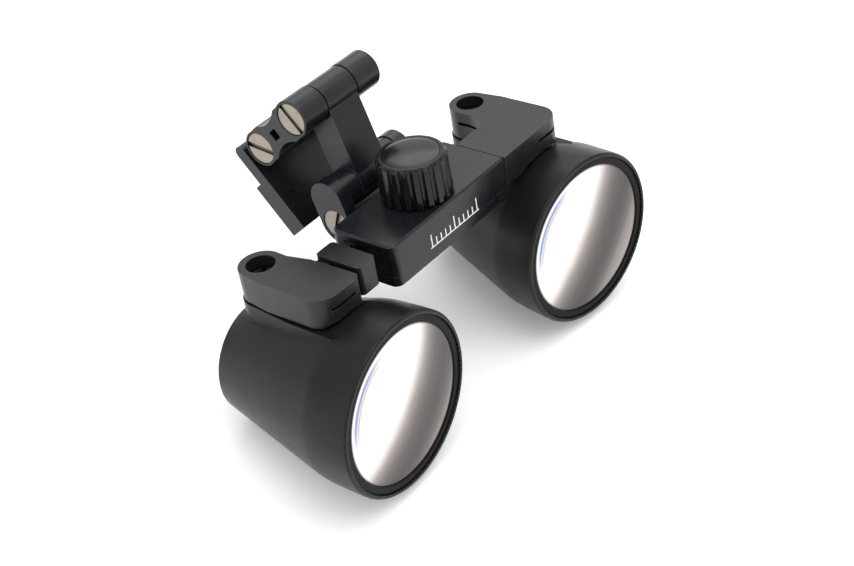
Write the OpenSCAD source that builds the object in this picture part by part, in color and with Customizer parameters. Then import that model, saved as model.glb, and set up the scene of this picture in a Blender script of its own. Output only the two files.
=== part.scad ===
// Flip-up Galilean dental loupes: two toed-in barrels on sliding arms, a rack
// and pinion for pupil distance, and a three-hinge train up to a mount plate.
// Working frame: X across the face, Y to the back, Z up, origin on the front
// top edge of the housing. stand() tips that frame so the barrels lie on Z = 0.

/* [Barrels] */
// radius of the front rim
front_r = 15.5; // [15.3:0.05:15.7]
// radius of the eyepiece end
rear_r = 9.75; // [9.6:0.05:9.9]
// pivot axis to front rim, along the optical axis
front_len = 24.85; // [24.6:0.05:25.2]
// pivot axis to eyepiece end
rear_len = 6.0; // [5.8:0.1:6.4]
// toe-in of the left barrel
toe_left = 3.05; // [2:0.05:4.5]
// toe-in of the right barrel
toe_right = 5.8; // [4.5:0.05:6.2]
// downward pitch of both optical axes
pitch = 1.2; // [0.8:0.1:1.6]
// depth of the optical axis below the housing top, at the pivot
axis_drop = 19.6; // [19.4:0.05:20.4]

/* [Arms] */
// half the distance between the two pivot screws
pivot_x = 27.5; // [27.3:0.1:28.5]
// pivot screws behind the housing front
pivot_y = 16.57; // [16.4:0.01:16.8]
// thickness of the arms
arm_t = 5.27; // [5.1:0.01:5.4]
// gap between arm and pedestal
swivel_gap = 0.3; // [0.25:0.01:0.4]
// gap between the left arm and its collar
groove = 1.2; // [0.9:0.1:1.4]

/* [Housing] */
// half length of the housing
house_hx = 14.85; // [14.6:0.05:14.9]
// depth of the housing, front to back
house_d = 13.0; // [12.8:0.05:13.1]
// height of the housing
house_h = 7.73; // [7.6:0.01:8.2]

/* [Knob] */
// radius of the knob at its foot
knob_r = 6.05; // [5.8:0.05:6.1]
// height of the knob above the housing
knob_h = 7.6; // [7.2:0.1:7.9]
// number of flutes
flutes = 20; // [16:1:24]

/* [Hinges] */
// half width of the hinge train
hinge_hx = 9.4; // [9.2:0.1:9.8]
// radius of the upper lobes
lobe_r = 3.35; // [3.25:0.05:3.4]
// radius of the hinge screws' heads
screw_head_r = 2.8; // [2.6:0.05:2.85]

/* [Part] */
// part to show

/* [Hidden] */
$fn = 96;
e = 0.01;

// table stance: the cones' lowest lines lie level
cone_z0 = -rear_len + 0.4;
cone_z1 = 15.9;
cone_r1 = rear_r + (cone_z1 - cone_z0) * 0.245;
tilt = atan(0.245) + pitch;
ox = 0.457;
oy = -10.547;
oz = axis_drop * cos(tilt) + pivot_y * sin(tilt) + (rear_r - 0.245 * cone_z0) * cos(atan(0.245)) + 0.026;

// hinge axes in the working frame, [y, z]
ax_a = [31.4, 7.32];
ax_b = [22.57, 14.92];
ax_c = [17.0, -3.85];
ax_d = [18.25, 0.65];
ang_ab = atan2(ax_b[1] - ax_a[1], ax_b[0] - ax_a[0]);
len_ab = norm(ax_b - ax_a);
ang_db = atan2(ax_b[1] - ax_d[1], ax_b[0] - ax_d[0]);
len_db = norm(ax_b - ax_d);
ang_cd = atan2(ax_d[1] - ax_c[1], ax_d[0] - ax_c[0]);
len_cd = norm(ax_d - ax_c);
plate_ang = 49.5;

// rack and pinion
knob_y = 6.6;
mod = 0.35;
teeth = 10;
rp = mod * teeth / 2;
tp = PI * mod;
bar_top = -1.5;
bar_bot = -4.7;

// colours
c_black = [0.06, 0.06, 0.065];
c_knob = [0.04, 0.04, 0.045];
c_steel = [0.62, 0.6, 0.56];
c_glass = [0.75, 0.82, 0.85, 0.35];
c_mark = [0.9, 0.9, 0.9];

module stand() translate([ox, oy, oz]) rotate([-tilt, 0, 0]) children();

// local +Z pointing along +X of the working frame, at a hinge axis
module on_axis(a) translate([0, a[0], a[1]]) rotate([90, 0, 90]) children();
// local X along the direction ang in the Y-Z plane, local Z along +X
module in_plane(a, ang) on_axis(a) rotate([0, 0, ang]) children();
// left or right arm frame, pivot at the origin
module arm_frame(s) translate([s * pivot_x, pivot_y, 0]) mirror([s > 0 ? 1 : 0, 0, 0]) children();
// barrel frame, toed in about the pivot
module barrel_frame(s) arm_frame(s) rotate([0, 0, s < 0 ? toe_left : toe_right]) children();
// optical axis frame: Z forward along the axis
module optic(s) barrel_frame(s) translate([0, 0, -axis_drop]) rotate([pitch, 0, 0]) rotate([90, 0, 0]) children();

module rrect(x0, y0, x1, y1, r) {
  translate([x0 + r, y0]) square([x1 - x0 - 2 * r, y1 - y0]);
  translate([x0, y0 + r]) square([x1 - x0, y1 - y0 - 2 * r]);
  for (x = [x0 + r, x1 - r], y = [y0 + r, y1 - r]) translate([x, y]) circle(r);
}
module ring2(ro, ri) difference() { circle(ro); circle(ri); }

// ---------------------------------------------------------------- housing
module cavity2(xo) {
  translate([-11.6, 2.8]) square([11.6 + xo, 2.4]);
  translate([-xo, 8.0]) square([11.6 + xo, 2.27]);
  translate([0, knob_y]) circle(2.25);
}
module house2(g, r) {
  rrect(-house_hx + g, g, house_hx - g, house_d - g, r);
  translate([house_hx - 2, g]) square([2 - g, house_d - 2 * g]);
}
module top_bevel(c = 0.35) {
  // 45 degree break all round the top edge, slight where the right arm closes on it
  translate([house_hx, -1, 0]) rotate([-90, 0, 0]) linear_extrude(house_d + 2) polygon([[-0.1, -0.01], [1, -0.01], [1, 1.1]]);
  mirror([1, 0, 0]) {
    translate([house_hx, 1.5, 0]) rotate([-90, 0, 0]) linear_extrude(house_d - 3) polygon([[-c, -0.01], [1, -0.01], [1, 1 + c]]);
    translate([house_hx - 1.5, 1.5, 0]) rotate([0, 0, -90]) rotate_extrude(angle = 90) polygon([[1.5 - c, 0.01], [2.5, 0.01], [2.5, -1 - c]]);
    translate([house_hx - 1.5, house_d - 1.5, 0]) rotate_extrude(angle = 90) polygon([[1.5 - c, 0.01], [2.5, 0.01], [2.5, -1 - c]]);
  }
  for (a = [0, 1]) translate([0, a * house_d, 0]) mirror([0, a, 0]) translate([-house_hx + 1.5, 0, 0]) rotate([90, 0, 90])
    linear_extrude(2 * house_hx) polygon([[c, 0.01], [-1, 0.01], [-1, -1 - c]]);
}
module housing_body() color(c_black) stand() difference() {
  union() {
    translate([0, 0, -5.9]) linear_extrude(5.9) house2(0, 1.5);
    // rear hinge lug
    on_axis(ax_c) translate([0, 0, -6.7]) cylinder(r = 2.4, h = 13.4);
    translate([-6.7, house_d - 0.5, -5.85]) cube([13.4, ax_c[0] - house_d + 0.5, 3.4]);
  }
  translate([0, 0, bar_bot - 0.06]) linear_extrude(bar_top - bar_bot + 0.12) cavity2(house_hx + 1);
  translate([0, 0, -6.5]) linear_extrude(2) cavity2(11.6);
  translate([0, knob_y, -3]) cylinder(r = 1.22, h = 4);
  on_axis(ax_c) translate([0, 0, -7]) cylinder(r = 1.05, h = 14);
  for (s = [-1, 1]) translate([s * 12.9, knob_y, -6.5]) cylinder(r = 0.6, h = 3.7);
  marks(0.02, -0.5, 0.15);
  top_bevel();
}
module housing_cover() color(c_black) stand() difference() {
  union() {
    translate([0, 0, -house_h]) linear_extrude(house_h - 5.92) house2(0.05, 1.45);
    translate([0, 0, -6.0]) linear_extrude(bar_bot - 0.08 + 6.0) {
      translate([-11.5, 2.9]) square([23, 2.2]);
      translate([-11.5, 8.1]) square([23, 2.07]);
      translate([0, knob_y]) circle(2.15);
    }
  }
  translate([0, knob_y, -6.9]) cylinder(r = 1.22, h = 3);
  for (s = [-1, 1]) translate([s * 12.9, knob_y, -house_h - 1]) {
    cylinder(r = 0.72, h = 3);
    cylinder(r = 1.25, h = 1.62);
  }
}
module cover_screws() color(c_steel) stand() for (s = [-1, 1]) translate([s * 12.9, knob_y, -house_h + 0.05]) difference() {
  union() {
    cylinder(r = 1.2, h = 0.52);
    cylinder(r = 0.57, h = 4.2);
  }
  translate([-2, -0.15, -0.1]) cube([4, 0.3, 0.35]);
}
module marks(g, y0, y1) {
  for (i = [-5:5]) translate([i * 1.2 - 0.11 + 0.45 - g, y0, -5.45 - g]) cube([0.22 + 2 * g, y1 - y0, (i % 5 == 0 ? 2.4 : 1.4) + 2 * g]);
  translate([-6.0 - g, y0, -5.55 - g]) cube([12.9 + 2 * g, y1 - y0, 0.18 + 2 * g]);
}
module scale_marks() color(c_mark) stand() marks(0, -0.02, 0.13);

// ------------------------------------------------------------------- knob
module knob() color(c_knob) stand() translate([0, knob_y, 0.36]) difference() {
  intersection() {
    linear_extrude(knob_h - 0.36) difference() {
      circle(knob_r);
      for (i = [0:flutes - 1]) rotate(i * 360 / flutes) translate([knob_r + 0.02, 0]) circle(0.55, $fn = 24);
    }
    union() {
      cylinder(r1 = knob_r, r2 = knob_r - 0.15, h = knob_h - 0.95);
      translate([0, 0, knob_h - 0.95 - e]) cylinder(r1 = knob_r - 0.15, r2 = knob_r - 0.6, h = 0.6);
    }
  }
  translate([0, 0, knob_h - 1.1]) cylinder(r = 4.86, h = 2);
  translate([0, 0, -1]) cylinder(r = 1.12, h = 6);
  translate([0, 0, -1]) difference() {
    cylinder(r = 4.4, h = 5);
    cylinder(r = 2.2, h = 5);
  }
}
module knob_cap() color(c_knob) stand() translate([0, knob_y, 0.36 + knob_h - 1.08]) intersection() {
  cylinder(r = 4.82, h = 1.4);
  translate([0, 0, -28.9]) sphere(r = 30, $fn = 160);
}
module gear2() union() {
  circle(1.3);
  for (i = [0:teeth - 1]) rotate(90 + i * 360 / teeth)
    polygon([[0.9, -0.33], [1.3, -0.31], [rp, -0.21], [rp + 0.27, -0.11], [rp + 0.27, 0.11], [rp, 0.21], [1.3, 0.31], [0.9, 0.33]]);
}
module pinion() color(c_steel) stand() translate([0, knob_y, 0]) {
  translate([0, 0, bar_bot + 0.02]) linear_extrude(bar_top - bar_bot - 0.05) gear2();
  translate([0, 0, -6.8]) cylinder(r = 1.17, h = 7.1);
  translate([0, 0, 0]) cylinder(r = 1.1, h = 5.2);
}
module knob_washer() color(c_steel) stand() translate([0, knob_y, 0.03]) linear_extrude(0.28) ring2(2.1, 1.25);

// ------------------------------------------------------------ racks, arms
module rack_bar(x0, x1) {
  // toothed bar along X, teeth towards +Y, pitch line at y = 0, gap at x = 0
  translate([x0, -1.8, bar_bot]) cube([x1 - x0, 1.38, bar_top - bar_bot]);
  for (i = [floor(x0 / tp) + 1:ceil(x1 / tp) - 2]) translate([(i + 0.5) * tp, 0, bar_bot]) linear_extrude(bar_top - bar_bot)
    polygon([[-0.38, -0.5], [-0.225, 0], [-0.13, 0.27], [0.13, 0.27], [0.225, 0], [0.38, -0.5]]);
}
module left_rack() color(c_black) stand() {
  // bar, teeth towards the front
  translate([0, knob_y + rp, 0]) mirror([0, 1, 0]) rack_bar(-20, 11);
  // collar block
  translate([0, 0, -arm_t + 0.05]) linear_extrude(arm_t - 0.1) rrect(-pivot_x + 4.8 + groove, 1.2, -17.4, 10.3, 0.7);
  // neck and tang into the arm
  translate([-27.0, 7.6, -4.4]) cube([6.5, 2.4, 3.4]);
}
module right_rack() color(c_black) stand() {
  translate([0, knob_y - rp, 0]) rack_bar(-11, 24.5);
}
module arm_blank() {
  // the left arm, pivot at the origin: round lobe, rounded outer front corner
  translate([0, 0, -arm_t]) {
    cylinder(r = 3.7, h = arm_t);
    translate([-0.4, -12.9, 0]) cylinder(r = 3.85, h = arm_t);
    linear_extrude(arm_t) polygon([[-4.25, -12.9], [-4.22, -4], [-3.69, 0], [3.69, 0], [3.62, -2.4], [4.6, -6.7], [4.9, -15.9], [4.1, -16.72], [-0.4, -16.75]]);
  }
}
module barrel_relief(s, sw) {
  // clearance over the barrel at one swivel angle
  rotate([0, 0, (s < 0 ? toe_left : toe_right) + sw]) translate([0, 0, -axis_drop]) rotate([pitch, 0, 0]) rotate([90, 0, 0]) {
    translate([0, 0, -2]) cylinder(r1 = rear_r + 0.245 * (-2 - cone_z0) + 0.4, r2 = cone_r1 + 0.4, h = cone_z1 + 2);
    translate([0, 0, cone_z1 - e]) cylinder(r = cone_r1 + 0.42, h = 1.2);
    translate([0, 0, cone_z1 + 1.1]) cylinder(r = 15.75, h = 4);
  }
}
module arm_cuts(s) {
  // screw counterbore and shank hole
  translate([0, 0, -3.2]) cylinder(r = 2.45, h = 4);
  translate([0, 0, -arm_t - 1]) cylinder(r = 1.05, h = arm_t + 2);
  // narrow slot at the front, and round the outer corner on the right
  translate([0, 0, -2.5]) linear_extrude(0.55) difference() {
    translate([s < 0 ? -2.2 : -4.3, -18.5]) square([s < 0 ? 5.3 : 7.4, 4.1]);
    union() {
      translate([-0.4, -12.9]) circle(3.2);
      translate([-0.4, -16.1]) square([6, 7]);
    }
  }
  // its other end, on the inner side of the lobe
  translate([3.05, -5.2, -2.5]) cube([3, 5.4, 0.55]);
  for (sw = [-3, 0, 3]) barrel_relief(s, sw);
}
module left_arm() color(c_black) stand() arm_frame(-1) difference() {
  arm_blank();
  arm_cuts(-1);
  translate([0.45, -9.02, -4.45]) cube([6, 2.5, 3.5]);
}
module right_arm() color(c_black) stand() arm_frame(1) difference() {
  union() {
    arm_blank();
    translate([3, -16.75, -arm_t]) cube([pivot_x - house_hx - 0.08 - 3, 10.18, arm_t]);
    translate([0, 0, -arm_t]) linear_extrude(arm_t) polygon([[3.3, -3.0], [5.4, -6.6], [3.3, -7]]);
  }
  arm_cuts(1);
  translate([2.95, pivot_y * -1 + knob_y - rp - 1.85, bar_bot - 0.05]) cube([12, 2.2, bar_top - bar_bot + 0.1]);
}
module pivot_screw(s) color(c_steel) stand() arm_frame(s) difference() {
  union() {
    translate([0, 0, -3.17]) cylinder(r = 2.15, h = 1.1);
    translate([0, 0, -8.6]) cylinder(r = 1.0, h = 6.0);
  }
  rotate([0, 0, 35]) translate([-3, -0.3, -2.6]) cube([6, 0.6, 1]);
}
module left_pivot_screw() pivot_screw(-1);
module right_pivot_screw() pivot_screw(1);
module swivel_washer(s) color(c_steel) stand() arm_frame(s) translate([0, 0, -arm_t - swivel_gap + 0.02]) linear_extrude(swivel_gap - 0.04) ring2(2.9, 1.08);
module left_swivel_washer() swivel_washer(-1);
module right_swivel_washer() swivel_washer(1);

// ---------------------------------------------------------------- barrels
module pedestal() {
  // seat under the arm, its outer wall runs out into the cone at the front
  translate([0, 0, -axis_drop]) {
    cylinder(r = 3.95, h = axis_drop - arm_t - swivel_gap);
    linear_extrude(axis_drop - arm_t - swivel_gap) polygon([[-5.85, -17.9], [-5.15, -8], [-3.94, 0.2], [3.94, 0.2], [3.75, -2.4], [4.0, -10], [4.9, -17.9]]);
  }
}
module serrated2(ro, ri, n) polygon([for (i = [0:2 * n - 1]) let (r = i % 2 == 0 ? ro : ri) [r * cos(i * 180 / n), r * sin(i * 180 / n)]]);
module barrel(s) color(c_black) stand() difference() {
  union() {
    optic(s) rotate_extrude() polygon([[0, -rear_len], [rear_r - 0.4, -rear_len], [rear_r, cone_z0], [cone_r1, cone_z1],
      [cone_r1 + 0.2, cone_z1 + 1.2], [cone_r1 + 0.33, cone_z1 + 2.9], [front_r, 22.5], [front_r, front_len - 0.35],
      [front_r - 0.3, front_len], [0, front_len]]);
    barrel_frame(s) pedestal();
  }
  optic(s) rotate_extrude() polygon([[0, front_len + 1], [front_r - 1.42, front_len + 1], [front_r - 1.42, 20.4], [13.3, 20.4],
    [13.3, 16.5], [12.5, 16.5], [8.4, -1.4], [7.2, -1.4], [7.2, -2.6], [8.0, -2.6], [8.0, -rear_len - 1], [0, -rear_len - 1]]);
  barrel_frame(s) translate([0, 0, -8.75]) cylinder(r = 1.0, h = 8);
  // serrated step where the retaining ring drops in
  optic(s) translate([0, 0, front_len - 0.62]) linear_extrude(1) serrated2(front_r - 0.6, front_r - 0.84, 110);
  // front face of the pedestal never stands in front of the rim
  optic(s) translate([-30, -30, front_len]) cube([60, 60, 10]);
}
module left_barrel() barrel(-1);
module right_barrel() barrel(1);
module front_ring(s) color(c_knob) stand() optic(s) rotate_extrude() polygon([[13.35, 22.6], [front_r - 1.46, 22.6], [front_r - 1.46, front_len - 0.6], [front_r - 0.88, front_len - 0.6], [front_r - 0.88, front_len - 0.3], [13.7, front_len - 0.3], [13.35, front_len - 0.5]]);
module left_front_ring() front_ring(-1);
module right_front_ring() front_ring(1);
module objective(s) color(c_glass) stand() optic(s) union() {
  translate([0, 0, 20.43]) cylinder(r = front_r - 1.5, h = 2.14);
  intersection() {
    translate([0, 0, 22.5]) cylinder(r = 13.3, h = 3);
    translate([0, 0, front_len - 0.02 - 160]) sphere(r = 160, $fn = 200);
  }
  intersection() {
    translate([0, 0, 18]) cylinder(r = 13.2, h = 2.5);
    translate([0, 0, 18.95 + 60]) sphere(r = 60, $fn = 200);
  }
}
module left_objective() objective(-1);
module right_objective() objective(1);
module baffle(s) color(c_black) stand() optic(s) translate([0, 0, 16.6]) linear_extrude(0.8) ring2(13.27, 11.6);
module left_baffle() baffle(-1);
module right_baffle() baffle(1);
module eyepiece(s) color(c_glass) stand() optic(s) difference() {
  translate([0, 0, -5.2]) cylinder(r = 7.95, h = 2.55);
  translate([0, 0, -3.45 + 30]) intersection() { sphere(r = 30, $fn = 160); translate([0, 0, -31]) cylinder(r = 6.9, h = 6); }
  translate([0, 0, -4.3 - 22]) intersection() { sphere(r = 22, $fn = 160); translate([0, 0, 17]) cylinder(r = 6.2, h = 6); }
}
module left_eyepiece() eyepiece(-1);
module right_eyepiece() eyepiece(1);
module eye_ring(s) color(c_knob) stand() optic(s) translate([0, 0, -5.9]) linear_extrude(0.67) difference() {
  circle(7.96);
  circle(6.9);
  for (a = [0, 180]) rotate(a) translate([6.5, -0.4]) square([0.9, 0.8]);
}
module left_eye_ring() eye_ring(-1);
module right_eye_ring() eye_ring(1);

// ---------------------------------------------------------- hinge C, yoke
module stadium(r, l) {
  circle(r);
  translate([l, 0]) circle(r);
  translate([0, -r]) square([l, 2 * r]);
}
module yoke() color(c_black) stand() difference() {
  union() {
    // bar from the cross barrel up to the top knuckle
    on_axis(ax_b) translate([0, 0, -3.55]) cylinder(r = lobe_r - 0.12, h = 7.1);
    in_plane(ax_d, ang_db) translate([0, -2.8, -3.55]) cube([len_db, 5.6, 7.1]);
    on_axis(ax_d) translate([0, 0, -8.2]) cylinder(r = 3.1, h = 16.4);
    on_axis(ax_d) translate([0, 0, -3.75]) cylinder(r = 3.28, h = 7.5);
    for (s = [-1, 1]) in_plane(ax_c, ang_cd) translate([0, 0, s > 0 ? 7.0 : -hinge_hx]) linear_extrude(hinge_hx - 7.0) stadium(3.3, len_cd);
  }
  on_axis(ax_c) translate([0, 0, -7]) cylinder(r = 2.75, h = 14);
  on_axis(ax_b) translate([0, 0, -5]) cylinder(r = 1.05, h = 10);
  on_axis(ax_c) translate([0, 0, -12]) cylinder(r = 1.02, h = 20.6);
  on_axis(ax_c) translate([0, 0, -hinge_hx - 1]) cylinder(r = screw_head_r + 0.04, h = 1.8);
}
module hinge_screw(a, turn, l) color(c_steel) stand() in_plane(a, turn) difference() {
  union() {
    translate([0, 0, -hinge_hx + 0.15]) cylinder(r = screw_head_r, h = 0.63);
    translate([0, 0, -hinge_hx + 0.5]) cylinder(r = 1.0, h = l);
  }
  translate([-4, -0.42, -hinge_hx - 0.5]) cube([8, 0.84, 1.1]);
}
module screw_c() hinge_screw(ax_c, 112, 17.2);
module screw_b() hinge_screw(ax_b, 48, 17.2);
module screw_a() hinge_screw(ax_a, 6, 17.2);
module washers(a, x, r) color(c_steel) stand() on_axis(a) for (s = [-1, 1]) translate([0, 0, s * x - 0.1]) linear_extrude(0.2) ring2(r, 1.08);
module washers_c() washers(ax_c, 6.85, 2.3);
module washers_b() washers(ax_b, 3.68, 2.9);
module washers_a() washers(ax_a, 3.68, 2.9);

// ------------------------------------------------------------------- link
module bone2() difference() {
  union() {
    circle(lobe_r - 0.1);
    translate([len_ab, 0]) circle(lobe_r);
    translate([0, -3.2]) square([len_ab, 6.4]);
  }
  for (s = [-1, 1]) translate([len_ab / 2, s * (2.25 + 6)]) circle(6);
}
module link() color(c_black) stand() difference() {
  in_plane(ax_a, ang_ab) union() {
    for (s = [-1, 1]) translate([0, 0, s > 0 ? 3.81 : -hinge_hx]) linear_extrude(hinge_hx - 3.81) bone2();
    translate([4.05, -1.5, -4.5]) cube([3.2, 3.0, 9]);
  }
  in_plane(ax_a, ang_ab) translate([len_ab / 2 - 1.03, -0.85, -12]) cube([1.7, 1.7, 24]);
  for (a = [ax_a, ax_b]) {
    on_axis(a) translate([0, 0, -12]) cylinder(r = 1.02, h = 20.6);
    on_axis(a) translate([0, 0, -hinge_hx - 1]) cylinder(r = screw_head_r + 0.04, h = 1.8);
  }
}

// ------------------------------------------------------------ mount plate
module mount_plate() color(c_black) stand() difference() {
  union() {
    in_plane(ax_a, plate_ang) {
      translate([0, 0, -hinge_hx]) linear_extrude(2 * hinge_hx) {
        translate([-14.7, -6.5]) square([16.43, 2.34]);
        translate([1.73, -5.33]) circle(1.17);
        translate([-14.7, -8.1]) square([10.3, 3.0]);
      }
      translate([0, -4.6, -3.55]) linear_extrude(7.1) translate([-2.9, 0]) square([5.8, 4.6]);
    }
    on_axis(ax_a) translate([0, 0, -3.55]) cylinder(r = lobe_r - 0.15, h = 7.1);
  }
  on_axis(ax_a) translate([0, 0, -5]) cylinder(r = 1.05, h = 10);
  // threaded holes for the frame's screws
  for (s = [-1, 1]) in_plane(ax_a, plate_ang) translate([-9.5, -9, s * 6]) rotate([-90, 0, 0]) cylinder(r = 0.8, h = 3.6);
}

housing_body();
housing_cover();
cover_screws();
scale_marks();
knob();
knob_cap();
pinion();
knob_washer();
left_rack();
left_arm();
left_pivot_screw();
left_swivel_washer();
right_rack();
right_arm();
right_pivot_screw();
right_swivel_washer();
left_barrel();
left_front_ring();
left_objective();
left_baffle();
left_eyepiece();
left_eye_ring();
right_barrel();
right_front_ring();
right_objective();
right_baffle();
right_eyepiece();
right_eye_ring();
yoke();
screw_c();
washers_c();
link();
screw_a();
screw_b();
washers_a();
washers_b();
mount_plate();
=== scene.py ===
import math

import bpy
from mathutils import Matrix, Vector

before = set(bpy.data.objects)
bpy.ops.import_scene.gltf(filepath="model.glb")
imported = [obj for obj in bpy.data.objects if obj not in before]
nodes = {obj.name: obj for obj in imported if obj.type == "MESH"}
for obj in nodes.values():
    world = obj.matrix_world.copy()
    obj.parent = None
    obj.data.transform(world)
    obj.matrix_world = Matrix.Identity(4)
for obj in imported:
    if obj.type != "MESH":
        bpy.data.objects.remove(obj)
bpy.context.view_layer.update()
scene = bpy.context.scene

# ------------------------------------------------------------ frame of the optics
TILT = math.atan(0.245) + math.radians(1.2)
STAND = Matrix.Translation((0.457e-3, -10.547e-3, 34.043e-3)) @ Matrix.Rotation(-TILT, 4, "X")


def optic(side):
    """Matrix from a barrel's own frame (mm, Z forward) to the row frame (m)."""
    toe = 3.05 if side < 0 else 5.8
    m = Matrix.Translation((side * 27.5, 16.57, 0))
    if side > 0:
        m = m @ Matrix.Diagonal((-1, 1, 1, 1))
    m = m @ Matrix.Rotation(math.radians(toe), 4, "Z") @ Matrix.Translation((0, 0, -19.6))
    m = m @ Matrix.Rotation(math.radians(1.2), 4, "X") @ Matrix.Rotation(math.radians(90), 4, "X")
    s = Matrix.Diagonal((0.001, 0.001, 0.001, 1))
    return STAND @ s @ m


def srgb(*v):
    out = []
    for c in v:
        c = c / 255
        out.append(c / 12.92 if c <= 0.04045 else ((c + 0.055) / 1.055) ** 2.4)
    return (*out, 1.0)


# ------------------------------------------------------------------ materials
class Mat:
    """A small helper that wires one Principled material."""

    def __init__(self, name):
        self.m = bpy.data.materials.new(name)
        self.m.use_nodes = True
        self.nt = self.m.node_tree
        self.nt.nodes.clear()
        self.out = self.add("ShaderNodeOutputMaterial")
        self.b = self.add("ShaderNodeBsdfPrincipled")
        self.link(self.b.outputs[0], self.out.inputs["Surface"])
        self.tc = self.add("ShaderNodeTexCoord")

    def add(self, kind, **kw):
        n = self.nt.nodes.new(kind)
        for k, v in kw.items():
            setattr(n, k, v)
        return n

    def link(self, a, b):
        self.nt.links.new(a, b)

    def noise(self, scale, detail=3.0, rough=0.55, vec=None, stretch=None):
        n = self.add("ShaderNodeTexNoise")
        n.inputs["Scale"].default_value = scale
        n.inputs["Detail"].default_value = detail
        n.inputs["Roughness"].default_value = rough
        src = vec or self.tc.outputs["Object"]
        if stretch:
            mp = self.add("ShaderNodeMapping")
            mp.inputs["Scale"].default_value = stretch
            self.link(src, mp.inputs["Vector"])
            src = mp.outputs[0]
        self.link(src, n.inputs["Vector"])
        return n.outputs["Fac"]

    def math(self, op, a, b=None, c=None, clamp=False):
        n = self.add("ShaderNodeMath", operation=op)
        n.use_clamp = clamp
        for i, v in enumerate((a, b, c)):
            if v is None:
                continue
            if isinstance(v, (int, float)):
                n.inputs[i].default_value = v
            else:
                self.link(v, n.inputs[i])
        return n.outputs[0]

    def dot(self, vec, d):
        n = self.add("ShaderNodeVectorMath", operation="DOT_PRODUCT")
        self.link(vec, n.inputs[0])
        n.inputs[1].default_value = d
        return n.outputs["Value"]

    def span(self, v, a, b, lo, hi, smooth=False):
        n = self.add("ShaderNodeMapRange")
        n.interpolation_type = "SMOOTHSTEP" if smooth else "LINEAR"
        n.clamp = True
        self.link(v, n.inputs["Value"])
        for k, x in (("From Min", a), ("From Max", b), ("To Min", lo), ("To Max", hi)):
            n.inputs[k].default_value = x
        return n.outputs[0]

    def ramp(self, v, stops, mode="LINEAR"):
        n = self.add("ShaderNodeValToRGB")
        r = n.color_ramp
        r.interpolation = mode
        while len(r.elements) > 1:
            r.elements.remove(r.elements[0])
        r.elements[0].position = stops[0][0]
        r.elements[0].color = stops[0][1]
        for p, c in stops[1:]:
            e = r.elements.new(p)
            e.color = c
        self.link(v, n.inputs[0])
        return n.outputs[0]

    def mix(self, fac, a, b, mode="MIX"):
        n = self.add("ShaderNodeMix", data_type="RGBA", blend_type=mode)
        for s, v in ((0, fac), (6, a), (7, b)):
            if isinstance(v, (int, float, tuple)):
                n.inputs[s].default_value = v
            else:
                self.link(v, n.inputs[s])
        return n.outputs[2]

    def bump(self, h, strength, dist, chain=None):
        n = self.add("ShaderNodeBump")
        n.inputs["Strength"].default_value = strength
        n.inputs["Distance"].default_value = dist
        self.link(h, n.inputs["Height"])
        if chain is not None:
            self.link(chain, n.inputs["Normal"])
        return n.outputs[0]

    def edges(self, radius):
        """Near 1 on convex and concave edges, 0 on flats."""
        bev = self.add("ShaderNodeBevel", samples=4)
        bev.inputs["Radius"].default_value = radius
        geo = self.add("ShaderNodeNewGeometry")
        d = self.add("ShaderNodeVectorMath", operation="DOT_PRODUCT")
        self.link(bev.outputs[0], d.inputs[0])
        self.link(geo.outputs["Normal"], d.inputs[1])
        return self.span(d.outputs["Value"], 0.995, 0.90, 0, 1, True)

    def paint_recess_shade(self, col, dist, floor, lo=0.15, hi=0.75):
        """Paints shade into slots, seams and holes, darkening the colour by ambient occlusion."""
        ao = self.add("ShaderNodeAmbientOcclusion", samples=6, only_local=False)
        ao.inputs["Distance"].default_value = dist
        f = self.span(ao.outputs["AO"], lo, hi, floor, 1.0, True)
        comb = self.add("ShaderNodeCombineColor")
        for i in range(3):
            self.link(f, comb.inputs[i])
        return self.mix(1.0, col, comb.outputs[0], "MULTIPLY")

    def set(self, **kw):
        for k, v in kw.items():
            self.b.inputs[k.replace("_", " ")].default_value = v

    def to(self, name, v):
        self.link(v, self.b.inputs[name])


def plastic(name, lo, hi, worn, rough, grain, grain_mm, spec=0.4, coat=0.0, scuff=0.0, wear=0.4):
    """Moulded plastic: mottled colour, fine grain, paler worn edges, painted shade in recesses, faint scuffs."""
    m = Mat(name)
    mott = m.noise(140, 4)
    base = m.ramp(mott, [(0.35, lo), (0.65, hi)])
    chips = m.span(m.noise(900, 3), 0.38, 0.62, 0.25, 1)
    base = m.mix(m.math("MULTIPLY", m.math("MULTIPLY", m.edges(0.00018), chips), wear), base, worn)
    # painted shade in slots, seams and holes
    base = m.paint_recess_shade(base, 0.0009, 0.25)
    if scuff:
        lines = m.noise(260, 2, stretch=(1.0, 14.0, 3.0))
        lines = m.span(lines, 0.64, 0.72, 0, scuff)
        base = m.mix(lines, base, worn)
    m.to("Base Color", base)
    fine = m.noise(1000.0 / grain_mm, 2)
    blot = m.noise(420, 3)
    r = m.span(m.math("ADD", m.math("MULTIPLY", blot, 0.7), m.math("MULTIPLY", fine, 0.3)), 0.3, 0.7, rough[0], rough[1])
    m.to("Roughness", r)
    n1 = m.bump(fine, grain, 0.00006)
    n2 = m.bump(m.noise(180, 2), 0.10, 0.0003, n1)
    m.to("Normal", n2)
    m.set(IOR=1.52)
    m.b.inputs["Specular IOR Level"].default_value = spec
    if coat:
        m.b.inputs["Coat Weight"].default_value = coat
        m.b.inputs["Coat Roughness"].default_value = 0.22
    return m.m


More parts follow.
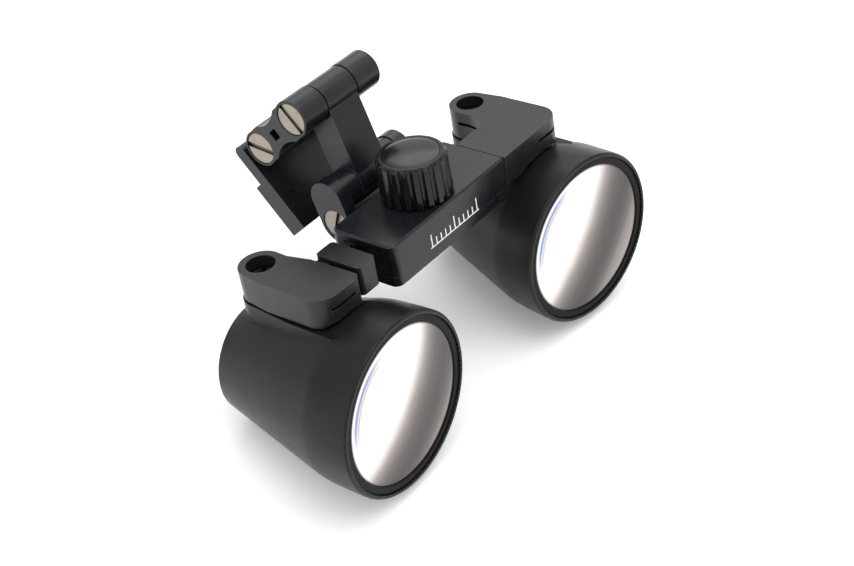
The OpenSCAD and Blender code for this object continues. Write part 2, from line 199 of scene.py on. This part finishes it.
def metal(name, lo, hi, rough, streak, aniso=0.3):
    m = Mat(name)
    brushed = m.noise(900, 3, stretch=streak)
    mott = m.noise(700, 3)
    base = m.ramp(m.math("ADD", m.math("MULTIPLY", brushed, 0.7), m.math("MULTIPLY", mott, 0.3)), [(0.32, lo), (0.68, hi)])
    # base colour with painted shade in slots, seams and holes
    m.to("Base Color", m.paint_recess_shade(base, 0.0010, 0.03, 0.40, 0.80))
    m.to("Roughness", m.span(brushed, 0.3, 0.7, rough[0], rough[1]))
    m.to("Normal", m.bump(brushed, 0.25, 0.00004))
    m.set(Metallic=1.0, Anisotropic=aniso)
    return m.m


def nylon(name):
    m = Mat(name)
    m.to("Base Color", m.ramp(m.noise(500, 3), [(0.35, srgb(176, 172, 162)), (0.65, srgb(206, 202, 192))]))
    m.to("Roughness", m.span(m.noise(1500, 2), 0.3, 0.7, 0.42, 0.6))
    m.to("Normal", m.bump(m.noise(4000, 2), 0.2, 0.00003))
    return m.m


def ink(name):
    m = Mat(name)
    m.to("Base Color", m.ramp(m.noise(2600, 3), [(0.3, srgb(214, 214, 214)), (0.55, srgb(246, 246, 246))]))
    m.to("Roughness", m.span(m.noise(1800, 2), 0.3, 0.7, 0.45, 0.65))
    m.to("Normal", m.bump(m.noise(5000, 2), 0.3, 0.00002))
    return m.m


def objective_glass(name, side, bow, lean, shift):
    """Front lens with a painted reflection: a bowed diagonal gradient from white to grey painted across the disc."""
    m = Mat(name)
    mat = optic(side)
    c = mat @ Vector((0, 0, 24.0))
    ex = ((mat @ Vector((-side, 0, 24.0))) - c) * 1000
    ey = ((mat @ Vector((0, 1, 24.0))) - c) * 1000
    ob = m.tc.outputs["Object"]
    x = m.math("MULTIPLY_ADD", m.dot(ob, tuple(ex)), 1000, -1000 * c.dot(ex))
    y = m.math("MULTIPLY_ADD", m.dot(ob, tuple(ey)), 1000, -1000 * c.dot(ey))
    r2 = m.math("ADD", m.math("MULTIPLY", x, x), m.math("MULTIPLY", y, y))
    r = m.math("SQRT", r2)
    # painted reflection: slightly bowed diagonal falloff from white to grey
    t = m.math("MULTIPLY", m.math("SUBTRACT", x, y), 0.7071)
    s = m.math("MULTIPLY", m.math("ADD", x, y), 0.7071)
    t = m.math("ADD", t, m.math("ADD", m.math("MULTIPLY", m.math("MULTIPLY", s, s), bow), m.math("MULTIPLY_ADD", s, lean, shift)))
    soft = m.noise(90, 2)
    t = m.math("ADD", t, m.math("MULTIPLY_ADD", soft, 1.2, -0.6))
    stops = [(0.0, 251), (0.414, 252), (0.459, 214), (0.514, 152), (0.570, 117), (0.625, 93), (0.686, 78), (0.743, 71), (0.80, 76), (0.857, 95), (0.904, 126), (0.982, 150)]
    painted_reflection = m.ramp(m.span(t, -12, 16, 0, 1), [(q, srgb(min(255, v * 1.035), v * 0.985, v * 0.965) if q > 0.43 else srgb(v, v, v)) for q, v in stops])
    # fine streaks in the painted reflection, running with the diagonal
    comb = m.add("ShaderNodeCombineXYZ")
    m.link(m.math("MULTIPLY", t, 1.6), comb.inputs[0])
    m.link(m.math("MULTIPLY", s, 0.10), comb.inputs[1])
    streak = m.noise(1.0, 3, vec=comb.outputs[0])
    painted_reflection = m.mix(m.span(streak, 0.3, 0.7, 0.0, 0.22), painted_reflection, srgb(205, 198, 193), "SOFT_LIGHT")
    # painted reflection: thin colour fringe near the upper left edge
    ang = m.math("DIVIDE", m.math("ADD", m.math("MULTIPLY", x, -0.79), m.math("MULTIPLY", y, 0.61)), m.math("MAXIMUM", r, 0.5))
    win = m.span(ang, 0.72, 0.97, 0, 0.9, True)
    blue = m.math("MULTIPLY", m.span(m.math("ABSOLUTE", m.math("SUBTRACT", r, 12.3)), 0.0, 0.62, 1, 0, True), win)
    gold = m.math("MULTIPLY", m.span(m.math("ABSOLUTE", m.math("SUBTRACT", r, 11.65)), 0.0, 0.36, 1, 0, True), win)
    painted_reflection = m.mix(blue, painted_reflection, srgb(88, 128, 200))
    painted_reflection = m.mix(gold, painted_reflection, srgb(206, 166, 84))
    # the painted reflection turns darker at the very edge of the disc
    painted_reflection = m.mix(m.span(r, 12.95, 13.3, 0, 0.7, True), painted_reflection, srgb(80, 76, 74))
    m.to("Base Color", painted_reflection)
    m.to("Roughness", m.span(m.noise(220, 3), 0.35, 0.75, 0.10, 0.20))
    m.to("Normal", m.bump(m.noise(160, 1), 0.04, 0.0002))
    m.b.inputs["Coat Weight"].default_value = 0.3
    m.b.inputs["Coat Roughness"].default_value = 0.03
    m.b.inputs["Coat IOR"].default_value = 1.38
    m.b.inputs["Specular IOR Level"].default_value = 0.1
    return m.m


def eyepiece_glass(name):
    m = Mat(name)
    m.to("Base Color", m.ramp(m.noise(110, 3), [(0.3, srgb(10, 14, 18)), (0.7, srgb(22, 30, 38))]))
    m.to("Roughness", m.span(m.noise(300, 3), 0.35, 0.75, 0.03, 0.09))
    m.to("Normal", m.bump(m.noise(150, 1), 0.03, 0.0002))
    m.b.inputs["Coat Weight"].default_value = 1.0
    m.b.inputs["Coat Roughness"].default_value = 0.02
    m.b.inputs["Coat IOR"].default_value = 1.7
    return m.m


HOUSE = plastic("plastic_housing", srgb(16, 17, 21), srgb(23, 24, 28), srgb(92, 92, 96), (0.22, 0.32), 0.09, 0.20, spec=0.36, scuff=0.06)
ARMS = plastic("plastic_arms", srgb(19, 20, 24), srgb(27, 28, 32), srgb(98, 98, 102), (0.28, 0.38), 0.12, 0.22, spec=0.38, scuff=0.08)
HINGE = plastic("plastic_hinge", srgb(16, 17, 22), srgb(24, 25, 30), srgb(96, 97, 102), (0.24, 0.34), 0.10, 0.20, spec=0.36, scuff=0.07)
SHELL = plastic("plastic_barrel", srgb(16, 16, 18), srgb(22, 22, 24), srgb(70, 70, 72), (0.30, 0.40), 0.08, 0.20, spec=0.22, scuff=0.03)
KNOB = plastic("plastic_knob", srgb(6, 7, 9), srgb(10, 11, 13), srgb(84, 84, 88), (0.16, 0.25), 0.06, 0.20, spec=0.30)
CAP = plastic("plastic_cap", srgb(10, 11, 14), srgb(15, 16, 19), srgb(84, 84, 88), (0.16, 0.25), 0.06, 0.20, spec=0.40)
# painted shade: coloured near-black, darker than the other black plastics, so the front ring recesses read as deep
# shade
RINGS_PAINTED_SHADE = plastic("plastic_rings", srgb(3, 3, 4), srgb(5, 5, 6), srgb(30, 30, 32), (0.30, 0.40), 0.07, 0.20, spec=0.10)
STEEL = metal("steel_screws", srgb(128, 121, 110), srgb(168, 160, 148), (0.30, 0.46), (1.0, 9.0, 9.0))
DARKSTEEL = metal("steel_dark", srgb(70, 68, 66), srgb(104, 101, 97), (0.30, 0.45), (1.0, 9.0, 9.0))
BRASS = metal("brass_pinion", srgb(176, 138, 74), srgb(214, 178, 108), (0.25, 0.40), (9.0, 9.0, 1.0))
NYLON = nylon("nylon_washers")
INK = ink("ink_scale")

LOOKS = {
    HOUSE: ["housing_body", "housing_cover"],
    ARMS: ["left_arm", "right_arm", "left_rack", "right_rack"],
    HINGE: ["yoke", "link", "mount_plate"],
    SHELL: ["left_barrel", "right_barrel"],
    KNOB: ["knob"],
    CAP: ["knob_cap"],
    RINGS_PAINTED_SHADE: ["left_front_ring", "right_front_ring", "left_baffle", "right_baffle", "left_eye_ring", "right_eye_ring"],
    STEEL: ["screw_a", "screw_b", "screw_c", "cover_screws"],
    DARKSTEEL: ["left_pivot_screw", "right_pivot_screw", "washers_a", "washers_b", "washers_c"],
    BRASS: ["pinion"],
    NYLON: ["knob_washer", "left_swivel_washer", "right_swivel_washer"],
    INK: ["scale_marks"],
    objective_glass("glass_left", -1, 0.0147, -0.02, 0.9): ["left_objective"],
    objective_glass("glass_right", 1, 0.0064, 0.10, 3.0): ["right_objective"],
    eyepiece_glass("glass_eyepiece"): ["left_eyepiece", "right_eyepiece"],
}
for mat, names in LOOKS.items():
    for n in names:
        o = nodes[n]
        if not o.data.materials:
            o.data.materials.append(mat)
        for i in range(len(o.material_slots)):
            o.material_slots[i].material = mat

# ----------------------------------------------------- softened, moulded edges
EDGES = {  # node: (edge radius in mm, segments)
    "housing_body": (0.13, 3), "housing_cover": (0.12, 2),
    "left_arm": (0.20, 3), "right_arm": (0.13, 3), "left_rack": (0.14, 2), "right_rack": (0.06, 2),
    "yoke": (0.22, 3), "link": (0.18, 3), "mount_plate": (0.22, 3),
    "left_barrel": (0.09, 2), "right_barrel": (0.09, 2),
    "knob": (0.14, 3), "knob_cap": (0.14, 3),
    "screw_a": (0.09, 2), "screw_b": (0.09, 2), "screw_c": (0.09, 2), "cover_screws": (0.05, 2),
    "left_pivot_screw": (0.07, 2), "right_pivot_screw": (0.07, 2),
    "left_front_ring": (0.05, 2), "right_front_ring": (0.05, 2), "left_eye_ring": (0.07, 2), "right_eye_ring": (0.07, 2),
}
for n, (w, seg) in EDGES.items():
    o = nodes[n]
    weld = o.modifiers.new("weld", "WELD")
    weld.merge_threshold = 2e-6
    dec = o.modifiers.new("planar", "DECIMATE")
    dec.decimate_type = "DISSOLVE"
    dec.angle_limit = math.radians(0.6)
    bev = o.modifiers.new("edges", "BEVEL")
    bev.width = w * 0.001
    bev.segments = seg
    bev.limit_method = "ANGLE"
    bev.angle_limit = math.radians(32)
    bev.use_clamp_overlap = True
    bev.miter_outer = "MITER_ARC"
    wn = o.modifiers.new("normals", "WEIGHTED_NORMAL")
    wn.keep_sharp = False
    wn.weight = 60

# ------------------------------------------------------------- floor and light
floor_mesh = bpy.data.meshes.new("floor")
floor_mesh.from_pydata([(-6, -6, 0), (6, -6, 0), (6, 6, 0), (-6, 6, 0)], [], [(0, 1, 2, 3)])
floor = bpy.data.objects.new("floor", floor_mesh)
scene.collection.objects.link(floor)
fm = Mat("floor_paper")
fm.to("Base Color", fm.ramp(fm.noise(14, 3), [(0.3, (0.93, 0.93, 0.93, 1)), (0.7, (0.95, 0.95, 0.95, 1))]))
fm.set(Roughness=0.9)
fm.b.inputs["Specular IOR Level"].default_value = 0.1
fm.b.inputs["Emission Color"].default_value = (1, 1, 1, 1)
fm.b.inputs["Emission Strength"].default_value = 0.12
floor_mesh.materials.append(fm.m)

world = bpy.data.worlds.new("studio")
scene.world = world
world.use_nodes = True
wt = world.node_tree
wt.nodes.clear()
wo = wt.nodes.new("ShaderNodeOutputWorld")
bg = wt.nodes.new("ShaderNodeBackground")
tcw = wt.nodes.new("ShaderNodeTexCoord")
sep = wt.nodes.new("ShaderNodeSeparateXYZ")
wt.links.new(tcw.outputs["Generated"], sep.inputs[0])


def wspan(v, a, b, lo, hi):
    n = wt.nodes.new("ShaderNodeMapRange")
    n.interpolation_type = "SMOOTHSTEP"
    wt.links.new(v, n.inputs["Value"])
    for k, x in (("From Min", a), ("From Max", b), ("To Min", lo), ("To Max", hi)):
        n.inputs[k].default_value = x
    return n.outputs[0]


def wmul(a, b):
    n = wt.nodes.new("ShaderNodeMath")
    n.operation = "MULTIPLY"
    wt.links.new(a, n.inputs[0])
    wt.links.new(b, n.inputs[1])
    return n.outputs[0]


# white at the horizon, a little dimmer at mid height, brighter overhead
low = wspan(sep.outputs["Z"], 0.03, 0.14, 1.10, 0.84)
high = wspan(sep.outputs["Z"], 0.10, 0.65, 1.0, 1.18)
wt.links.new(wmul(low, high), bg.inputs["Strength"])
bg.inputs["Color"].default_value = (1.0, 1.0, 1.0, 1)
wt.links.new(bg.outputs[0], wo.inputs["Surface"])


def area(name, loc, aim, size, power, spread=180):
    l = bpy.data.lights.new(name, "AREA")
    l.shape = "RECTANGLE"
    l.size, l.size_y = size
    l.energy = power
    l.spread = math.radians(spread)
    o = bpy.data.objects.new(name, l)
    scene.collection.objects.link(o)
    o.location = loc
    o.rotation_euler = (Vector(aim) - Vector(loc)).to_track_quat("-Z", "Y").to_euler()
    return o


area("top_box", (0.05, -0.05, 0.85), (0, 0, 0.02), (0.8, 0.8), 3.4)
area("back_box", (0.50, 0.42, 0.52), (0, 0, 0.02), (0.5, 0.4), 0.9)
area("left_box", (-0.62, 0.10, 0.30), (0, 0, 0.02), (0.5, 0.4), 0.8)

# --------------------------------------------------------------------- camera
cam_data = bpy.data.cameras.new("photo_view")
cam_data.sensor_width = 36
cam_data.sensor_fit = "HORIZONTAL"
cam_data.lens = 72.364
cam_data.clip_start = 0.01
cam = bpy.data.objects.new("photo_view", cam_data)
scene.collection.objects.link(cam)
rows = ((0.612540978, 0.522154650, -0.593420653), (-0.788232051, 0.459567547, -0.409252860), (0.059023590, 0.718437325, 0.693082986))
mw = Matrix(rows).to_4x4()
mw.translation = Vector((-0.172548, -0.126851, 0.215973))
cam.matrix_world = mw
scene.camera = cam
scene.view_settings.view_transform = "Standard"
scene.view_settings.look = "None"
